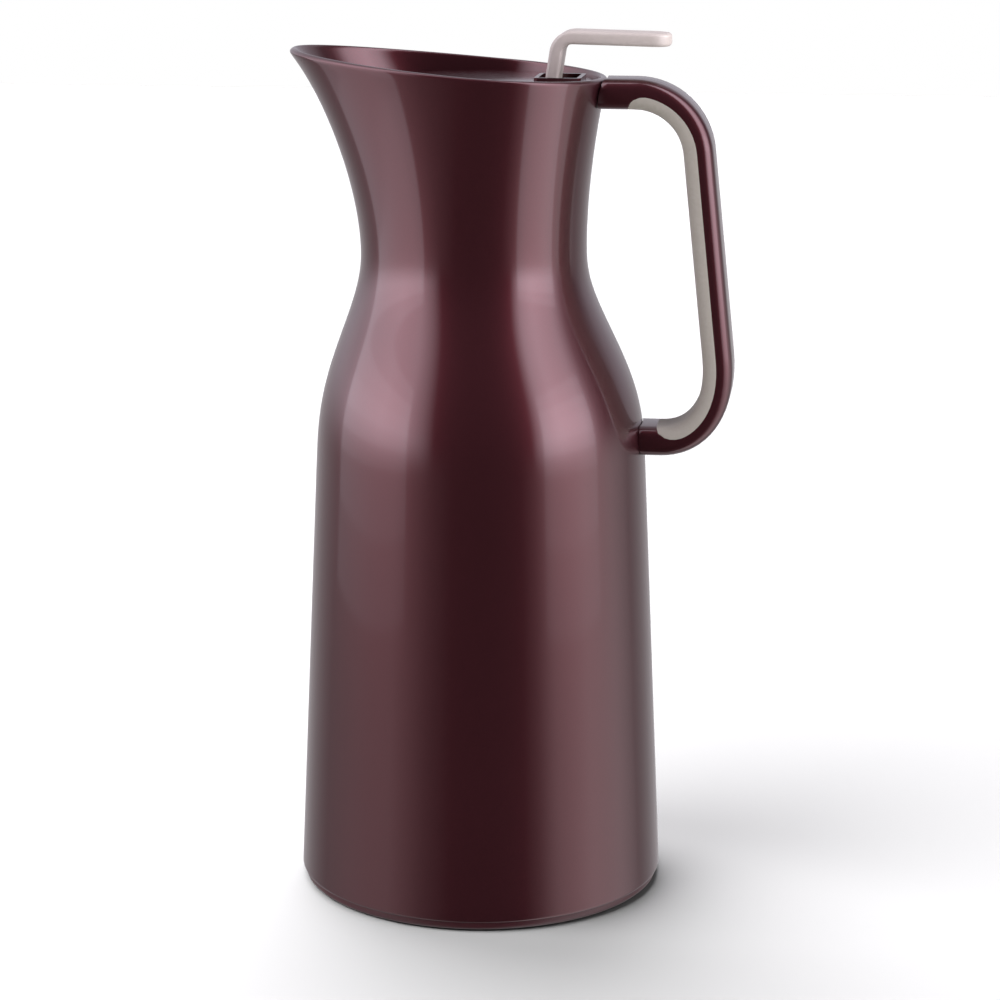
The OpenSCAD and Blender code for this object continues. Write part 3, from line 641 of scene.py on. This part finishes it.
def prism(name, outline, half_width):
    """A flat shape in the XZ plane, drawn point by point, filled and pulled out to both sides."""
    thing = new_piece(name, bpy.ops.mesh.primitive_plane_add, size=MM, location=outline[0])
    bpy.ops.mesh.merge(type="CENTER")
    for start, end in zip(outline, outline[1:]):
        bpy.ops.mesh.extrude_vertices_move(TRANSFORM_OT_translate={"value": end - start})
    bpy.ops.mesh.select_all(action="SELECT")
    bpy.ops.mesh.edge_face_add()
    bpy.ops.transform.translate(value=(0, -half_width, 0))
    bpy.ops.mesh.extrude_region_move(TRANSFORM_OT_translate={"value": (0, 2 * half_width, 0)})
    bpy.ops.mesh.select_all(action="SELECT")
    bpy.ops.mesh.normals_make_consistent(inside=False)
    bpy.ops.object.mode_set(mode="OBJECT")
    return thing


def cut_with(thing, cutter, operation="DIFFERENCE", keep=False):
    """A Boolean cut, after which the cutter goes unless it is kept."""
    modify(thing, "BOOLEAN", object=cutter, operation=operation, solver="EXACT")
    if not keep:
        bpy.data.objects.remove(cutter)


def copy_of(thing, name):
    twin = thing.copy()
    twin.data = thing.data.copy()
    twin.name = name
    bpy.context.scene.collection.objects.link(twin)
    return twin


def grip_outline(stations, headings):
    """Side view of the grip's room: its boundary inside the bar, then a line well clear of the bar."""
    first, last = GRIP_FIRST_STATION, len(stations) - GRIP_LAST_FROM_END
    travelled = [0.0]
    for start, end in zip(stations[first:], stations[first + 1:last + 1]):
        travelled.append(travelled[-1] + (end - start).length)
    inner, outer = [], []
    for i in range(first, last + 1):
        done = travelled[i - first]
        start_share = min(1, done / GRIP_START_RAMP)
        end_share = min(1, (travelled[-1] - done) / GRIP_END_RAMP)
        ease = math.sqrt(1 - (1 - start_share) ** 2) * math.sqrt(1 - (1 - end_share) ** 2)
        inward = Vector((headings[i].z, 0, -headings[i].x))
        inner.append(stations[i] + inward * (HANDLE_T + GRIP_RUN_OUT - (GRIP_T + GRIP_RUN_OUT) * ease))
        outer.append(stations[i] + inward * (HANDLE_T + GRIP_ROOM_PAST_BAR))
    return inner + outer[::-1]


stations = handle_stations()
headings = directions(stations)
handle = sweep("handle", stations, headings, add_bar_section)
close_ends()
bpy.ops.mesh.select_all(action="SELECT")
bpy.ops.mesh.normals_make_consistent(inside=False)
bpy.ops.object.mode_set(mode="OBJECT")

arm_mid_z = HANDLE_TOP - HANDLE_T / 2
low_seat_low_r = body_radius(HANDLE_LOW - SEAT_MARGIN) + LOWER_SEAT_GAP
low_seat_high_r = body_radius(HANDLE_LOW + HANDLE_T + SEAT_MARGIN) + LOWER_SEAT_GAP
for seat_mid, seat_low_r, seat_high_r in (
    (arm_mid_z, UPPER_SEAT_LOW_R, UPPER_SEAT_HIGH_R),
    (HANDLE_LOW + HANDLE_T / 2, low_seat_low_r, low_seat_high_r),
):
    seat = new_piece(
        "seat", bpy.ops.mesh.primitive_cone_add, vertices=SEAT_SIDES, radius1=seat_low_r, radius2=seat_high_r,
        depth=HANDLE_T + 2 * SEAT_MARGIN, location=(0, 0, seat_mid),
    )
    bpy.ops.object.mode_set(mode="OBJECT")
    cut_with(handle, seat)

grip = copy_of(handle, "grip")
room = prism("grip_room", grip_outline(stations, headings), HANDLE_W)
cut_with(grip, room, "INTERSECT", keep=True)
cut_with(handle, room)
for thing, slot, node in ((handle, "burgundy_gloss", "handle_shell"), (grip, "grip_soft", "handle_grip")):
    modify(thing, "BEVEL", width=SEAM, segments=2, limit_method="ANGLE", angle_limit=math.radians(38))
    smooth(thing, 30)
    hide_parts(node)
    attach(thing, "root")
handle.data.materials.clear()
handle.data.materials.append(burgundy)
soft_grip = finish_of(
    "soft_grip", (0.34, 0.315, 0.265), (0.38, 0.35, 0.30), 0.62, spread=0.12, grain=1400, bump=0.22, flecks=900,
    Sheen_Weight=0.15, Sheen_Roughness=0.5,
)
grip.data.materials.clear()
grip.data.materials.append(soft_grip)

# ---------------------------------------------------------------------------------------------------
# Base cap and foot ring: a shallow moulded plug closes the body from below, and a ring of rubber is
# pressed into its groove, so that the jug stands softly.

cap_low, cap_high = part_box("base_cap")
foot_low, foot_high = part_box("foot_ring")
CAP_R = cap_high.x
FOOT_OUT_R = foot_high.x
FOOT_W = 7 * MM
FOOT_IN_R = FOOT_OUT_R - FOOT_W
FOOT_FIT = 0.02 * MM
FOOT_ROUND = 0.5 * MM
SKIRT_Z = 16 * MM
SKIRT_GAP = 0.3 * MM
SKIRT_T = 2.2 * MM
SKIRT_R = body_radius(SKIRT_Z) - WALL - SKIRT_GAP
CAP_RECESS_Z = cap_low.z + 1 * MM
CAP_INSIDE_Z = 5 * MM
AT_AXIS = 1e-5

cap = lathe("base_cap_turned", [
    (AT_AXIS, CAP_RECESS_Z), (FOOT_IN_R - 5 * MM, CAP_RECESS_Z), (FOOT_IN_R - 3.6 * MM, cap_low.z + 0.9 * MM),
    (FOOT_IN_R - 2.4 * MM, cap_low.z + 0.1 * MM), (FOOT_IN_R - 2 * MM, cap_low.z), (FOOT_IN_R, cap_low.z),
    (FOOT_IN_R, foot_high.z), (FOOT_OUT_R, foot_high.z), (FOOT_OUT_R, cap_low.z), (CAP_R - 1.5 * MM, cap_low.z),
    (CAP_R - 0.9 * MM, cap_low.z + 0.15 * MM), (CAP_R - 0.4 * MM, cap_low.z + 0.6 * MM),
    (CAP_R - 0.05 * MM, cap_low.z + 1.5 * MM), (CAP_R, SHELL_Z0), (SKIRT_R, SHELL_Z0), (SKIRT_R, cap_high.z),
    (SKIRT_R - SKIRT_T, cap_high.z), (SKIRT_R - SKIRT_T, CAP_INSIDE_Z), (AT_AXIS, CAP_INSIDE_Z),
])
foot = lathe("foot_ring_turned", [
    (FOOT_IN_R + FOOT_FIT, foot_high.z), (FOOT_IN_R + FOOT_FIT, foot_low.z + FOOT_ROUND),
    (FOOT_IN_R + FOOT_ROUND, foot_low.z), (FOOT_OUT_R - FOOT_ROUND, foot_low.z),
    (FOOT_OUT_R - FOOT_FIT, foot_low.z + FOOT_ROUND), (FOOT_OUT_R - FOOT_FIT, foot_high.z),
    (FOOT_IN_R + FOOT_FIT, foot_high.z),
])
for thing, node, slot in ((cap, "base_cap", "burgundy_inner"), (foot, "foot_ring", "black_rubber")):
    smooth(thing, 35)
    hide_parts(node)
    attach(thing, "root")
burgundy_moulded = finish_of(
    "burgundy_moulded", (0.045, 0.009, 0.012), (0.06, 0.013, 0.018), 0.34, spread=0.1, bump=0.06, flecks=1200
)
rubber = finish_of("rubber", (0.012, 0.012, 0.012), (0.02, 0.019, 0.018), 0.68, spread=0.15, grain=1100, bump=0.3)
cap.data.materials.append(burgundy_moulded)
foot.data.materials.append(rubber)

# ---------------------------------------------------------------------------------------------------
# Stopper cover: a flat burgundy disc with a rounded edge. A low frame stands round the slot that the
# lever's stem comes up through. It snaps into the stopper's cup.

cover_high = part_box("stopper_cover")[1]
FRAME_W = 1.5 * MM
FRAME_H = 1.6 * MM
FRAME_SINK = 0.5 * MM
FRAME_CORNER_R = 1.6 * MM
COVER_T = 2.8 * MM
COVER_R = cover_high.x
COVER_TOP = cover_high.z - FRAME_H
COVER_LOW = COVER_TOP - COVER_T
SLOT_MID = 27 * MM
SLOT_HALF_L = 6.5 * MM
SLOT_HALF_W = 8.5 * MM
SLOT_CORNER_R = 0.8 * MM
SLOT_CUT_HALF_H = 6 * MM
COVER_EDGE = 0.3 * MM

cover = lathe("cover", [
    (AT_AXIS, COVER_LOW), (COVER_R - 0.5 * MM, COVER_LOW), (COVER_R - 0.1 * MM, COVER_LOW + 0.3 * MM),
    (COVER_R, COVER_LOW + 0.8 * MM), (COVER_R, COVER_TOP - 0.9 * MM), (COVER_R - 0.12 * MM, COVER_TOP - 0.5 * MM),
    (COVER_R - 0.42 * MM, COVER_TOP - 0.18 * MM), (COVER_R - 0.9 * MM, COVER_TOP),
    (COVER_R - 2 * MM, COVER_TOP), (AT_AXIS, COVER_TOP),
])


def block(name, middle, half, round_r=0.0):
    """A box from its middle and half its size, with its upright edges rounded."""
    thing = new_piece(name, bpy.ops.mesh.primitive_cube_add, size=1, location=middle)
    bpy.ops.transform.resize(value=2 * half, center_override=middle)
    if round_r:
        pick(lambda p: abs(p.z - middle.z) < half.z / 10, "edges")
        bpy.ops.mesh.bevel(offset=round_r, segments=4)
    bpy.ops.object.mode_set(mode="OBJECT")
    return thing


frame_mid = Vector((SLOT_MID, 0, COVER_TOP + FRAME_H / 2 - FRAME_SINK))
frame_half = Vector((SLOT_HALF_L + FRAME_W, SLOT_HALF_W + FRAME_W, FRAME_H / 2 + FRAME_SINK))
slot_frame = block("slot_frame", frame_mid, frame_half, FRAME_CORNER_R)
cut_with(cover, slot_frame, "UNION")
slot_cut = block(
    "slot_cut", Vector((SLOT_MID, 0, COVER_TOP)), Vector((SLOT_HALF_L, SLOT_HALF_W, SLOT_CUT_HALF_H)),
    SLOT_CORNER_R,
)
cut_with(cover, slot_cut)
modify(cover, "BEVEL", width=COVER_EDGE, segments=2, limit_method="ANGLE", angle_limit=math.radians(50))
smooth(cover, 40)
modify(cover, "WEIGHTED_NORMAL", keep_sharp=True)
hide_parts("stopper_cover")
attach(cover, "stopper")
cover.data.materials.clear()
cover.data.materials.append(burgundy)

# ---------------------------------------------------------------------------------------------------
# Thumb lever: one satin moulding. Its flat thumb arm runs back over the handle and ends in a round
# tongue, its stem goes down through the slot, and two fingers below the cover lift the valve. Its edges
# are softly rounded. A side light of its own brings out its end.

lever_low, lever_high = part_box("thumb_lever")
PIVOT_X = 22 * MM
HUB_R = 4.2 * MM
PIVOT_Z = lever_low.z + HUB_R
LEVER_W = 15 * MM
LEVER_T = 4.4 * MM
LEVER_END_BACK = 0.7 * MM
LEVER_END = lever_high.x - LEVER_END_BACK
LEVER_TOP = lever_high.z
STEM_LEAN = math.radians(8.5)
BEND_R = 5.6 * MM
BEND_STEPS = 16
ARM_FALL = 0.75 * MM
TIP_CORNER_R = 6.45 * MM
HUB_HALF_W = 8.1 * MM
FINGER_R = 2 * MM
FINGER_IN_Y = 3.2 * MM
FINGER_OUT_Y = 6.4 * MM
LEVER_EDGE = 1.2 * MM
PIN_BORE_R = 1.56 * MM
PIN_BORE_HALF_W = 10 * MM
TIP_SEGMENTS = 14
SIDE_STRENGTH = 2.2
SIDE_SOFTNESS = math.radians(30)
SIDE_FROM = Vector((0.85, 0.12, 0.38))

arm_mid = LEVER_TOP - LEVER_T / 2
bend_x = PIVOT_X + (arm_mid - PIVOT_Z) * math.tan(STEM_LEAN)
bend_mid = Vector((bend_x + BEND_R * math.tan((math.pi / 2 - STEM_LEAN) / 2), 0, arm_mid - BEND_R))


def arc(middle, radius, start, end, steps):
    turns = [math.radians(start + (end - start) * k / steps) for k in range(steps + 1)]
    return [middle + radius * Vector((math.cos(t), 0, math.sin(t))) for t in turns]


stem_side = Vector((math.cos(STEM_LEAN), 0, -math.sin(STEM_LEAN))) * LEVER_T / 2
pivot = Vector((PIVOT_X, 0, PIVOT_Z))
start_turn = 180 - math.degrees(STEM_LEAN)
outline = [pivot - stem_side]
outline += arc(bend_mid, BEND_R + LEVER_T / 2, start_turn, 90, BEND_STEPS)
end_top = Vector((LEVER_END, 0, LEVER_TOP - ARM_FALL))
outline += [end_top, end_top - Vector((0, 0, LEVER_T))]
outline += arc(bend_mid, BEND_R - LEVER_T / 2, 90, start_turn, BEND_STEPS)
outline += [pivot + stem_side]
lever = prism("lever", outline, LEVER_W / 2)
plan_mid = Vector((LEVER_END / 2, 0, (PIVOT_Z + LEVER_TOP) / 2))
plan = new_piece("lever_plan", bpy.ops.mesh.primitive_cube_add, size=1, location=plan_mid)
bpy.ops.transform.resize(value=(LEVER_END, LEVER_W, 2 * (LEVER_TOP - PIVOT_Z)), center_override=plan_mid)
pick(lambda p: p.x > LEVER_END - 0.1 * MM and abs(p.z - plan_mid.z) < 1 * MM, "edges")
bpy.ops.mesh.bevel(offset=TIP_CORNER_R, segments=TIP_SEGMENTS)
bpy.ops.object.mode_set(mode="OBJECT")
cut_with(lever, plan, "INTERSECT")
modify(
    lever, "BEVEL", width=LEVER_EDGE, segments=4, limit_method="ANGLE", angle_limit=math.radians(50),
    use_clamp_overlap=False,
)


def cross_rod(name, x, z, radius, y0, y1, sides=48):
    thing = new_piece(
        name, bpy.ops.mesh.primitive_cylinder_add, vertices=sides, radius=radius, depth=y1 - y0,
        rotation=(math.pi / 2, 0, 0), location=(x, (y0 + y1) / 2, z),
    )
    bpy.ops.object.mode_set(mode="OBJECT")
    return thing


cut_with(lever, cross_rod("hub", PIVOT_X, PIVOT_Z, HUB_R, -HUB_HALF_W, HUB_HALF_W), "UNION")
for y0, y1 in ((FINGER_IN_Y, FINGER_OUT_Y), (-FINGER_OUT_Y, -FINGER_IN_Y)):
    finger_mid = Vector((PIVOT_X / 2, (y0 + y1) / 2, PIVOT_Z))
    finger = block("finger", finger_mid, Vector((PIVOT_X / 2, (y1 - y0) / 2, FINGER_R)))
    cut_with(finger, cross_rod("fingertip", 0, PIVOT_Z, FINGER_R, y0, y1, 32), "UNION")
    cut_with(lever, finger, "UNION")
cut_with(lever, cross_rod("pin_bore", PIVOT_X, PIVOT_Z, PIN_BORE_R, -PIN_BORE_HALF_W, PIN_BORE_HALF_W))
smooth(lever, 35)
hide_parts("thumb_lever")
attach(lever, "lever")
lever_satin = finish_of(
    "lever_satin", (0.45, 0.40, 0.365), (0.50, 0.445, 0.405), 0.36, spread=0.08, grain=1300, bump=0.1, flecks=800,
)
lever.data.materials.clear()
lever.data.materials.append(lever_satin)
lever_only = bpy.data.collections.new("lever_only")
lever_only.objects.link(lever)
side_data = bpy.data.lights.new("side_light", "SUN")
side_data.energy = SIDE_STRENGTH
side_data.angle = SIDE_SOFTNESS
side_light = bpy.data.objects.new("side_light", side_data)
side_light.rotation_euler = SIDE_FROM.to_track_quat("Z", "Y").to_euler()
bpy.context.scene.collection.objects.link(side_light)
side_light.light_linking.receiver_collection = lever_only

# ---------------------------------------------------------------------------------------------------
# Valve spring: a coil of round steel wire with one closed turn at each end. It stands on the valve's
# head and pushes against the stopper's spider. It is one rigid coil that moves with the stopper.

spring_low, spring_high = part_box("valve_spring")
WIRE_R = 0.5 * MM
COIL_R = spring_high.x - WIRE_R
CLOSED_PITCH = 2.1 * WIRE_R
OPEN_TURNS = 4
WIRE_SIDES = 12
TURN_STEPS = 40

spring_z0 = spring_low.z + WIRE_R
spring_z1 = spring_high.z - WIRE_R
open_pitch = (spring_z1 - spring_z0 - 2 * CLOSED_PITCH) / OPEN_TURNS
turns = []
for start_z, pitch, count in (
    (spring_z0, CLOSED_PITCH, 1), (spring_z0 + CLOSED_PITCH, open_pitch, OPEN_TURNS),
    (spring_z1 - CLOSED_PITCH, CLOSED_PITCH, 1),
):
    coil = new_piece(
        "coil", bpy.ops.mesh.primitive_circle_add, vertices=WIRE_SIDES, radius=WIRE_R, rotation=(math.pi / 2, 0, 0),
        location=(COIL_R, 0, start_z),
    )
    bpy.ops.object.mode_set(mode="OBJECT")
    modify(
        coil, "SCREW", angle=2 * math.pi, screw_offset=pitch, iterations=count, steps=TURN_STEPS,
        render_steps=TURN_STEPS,
    )
    turns.append(coil)
deselect()
for coil in turns:
    coil.select_set(True)
bpy.context.view_layer.objects.active = turns[0]
bpy.ops.object.join()
spring = turns[0]
spring.name = "coil_spring"
edit(spring)
bpy.ops.mesh.remove_doubles(threshold=SAME_POINT)
close_ends()
bpy.ops.mesh.select_all(action="SELECT")
bpy.ops.mesh.normals_make_consistent(inside=False)
bpy.ops.object.mode_set(mode="OBJECT")
smooth(spring, 50)
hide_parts("valve_spring")
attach(spring, "stopper")
steel = finish_of(
    "steel", (0.5, 0.5, 0.51), (0.58, 0.58, 0.6), 0.26, spread=0.15, grain=1800, bump=0.06, Metallic=1.0
)
spring.data.materials.append(steel)
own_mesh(spring)

# ---------------------------------------------------------------------------------------------------
# The other inner pieces keep their CAD shape and get their own finish: glass, seals, collar, stopper,
# screws and valve parts.

stopper_dark = finish_of("stopper_dark", (0.020, 0.018, 0.018), (0.03, 0.027, 0.027), 0.45, bump=0.12, flecks=900)
silicone = finish_of(
    "silicone", (0.62, 0.62, 0.58), (0.68, 0.68, 0.64), 0.5, grain=700, bump=0.1, Subsurface_Weight=0.2
)
acetal = finish_of("acetal", (0.72, 0.72, 0.69), (0.78, 0.78, 0.75), 0.38, grain=1000, bump=0.08)
felt = finish_of("felt", (0.38, 0.33, 0.26), (0.5, 0.45, 0.36), 0.9, grain=700, bump=0.6, flecks=1800)
silvered = finish_of(
    "silvered_glass", (0.80, 0.82, 0.84), (0.86, 0.87, 0.89), 0.07, spread=0.05, grain=60, bump=0.03, flecks=40,
    Metallic=1.0, Coat_Weight=1.0, Coat_Roughness=0.02,
)
brass = finish_of(
    "brass", (0.58, 0.40, 0.14), (0.66, 0.47, 0.2), 0.3, spread=0.15, grain=1500, bump=0.08, Metallic=1.0
)
finishes = {
    "base_seal": silicone, "liner_cushion": rubber, "tip_guard": rubber, "liner_outer_glass": silvered,
    "liner_inner_glass": silvered, "liner_spacers": felt, "neck_gasket": silicone,
    "neck_collar": burgundy_moulded, "collar_seal": silicone, "handle_inserts": brass, "handle_screws": steel,
    "stopper_body": stopper_dark, "stopper_plug": stopper_dark, "stopper_seal": silicone,
    "plug_seal": silicone, "guide_bush": acetal,
    "rod_gland": silicone, "lever_pin": steel, "valve_rod": steel, "lift_disc": acetal, "rod_clip": steel,
    "valve_head": acetal, "valve_seal": silicone,
}
for node, finish in finishes.items():
    slots = bpy.data.objects[node].material_slots
    if len(slots) == 0:
        bpy.data.objects[node].data.materials.append(finish)
    for slot in slots:
        slot.material = finish

deselect()
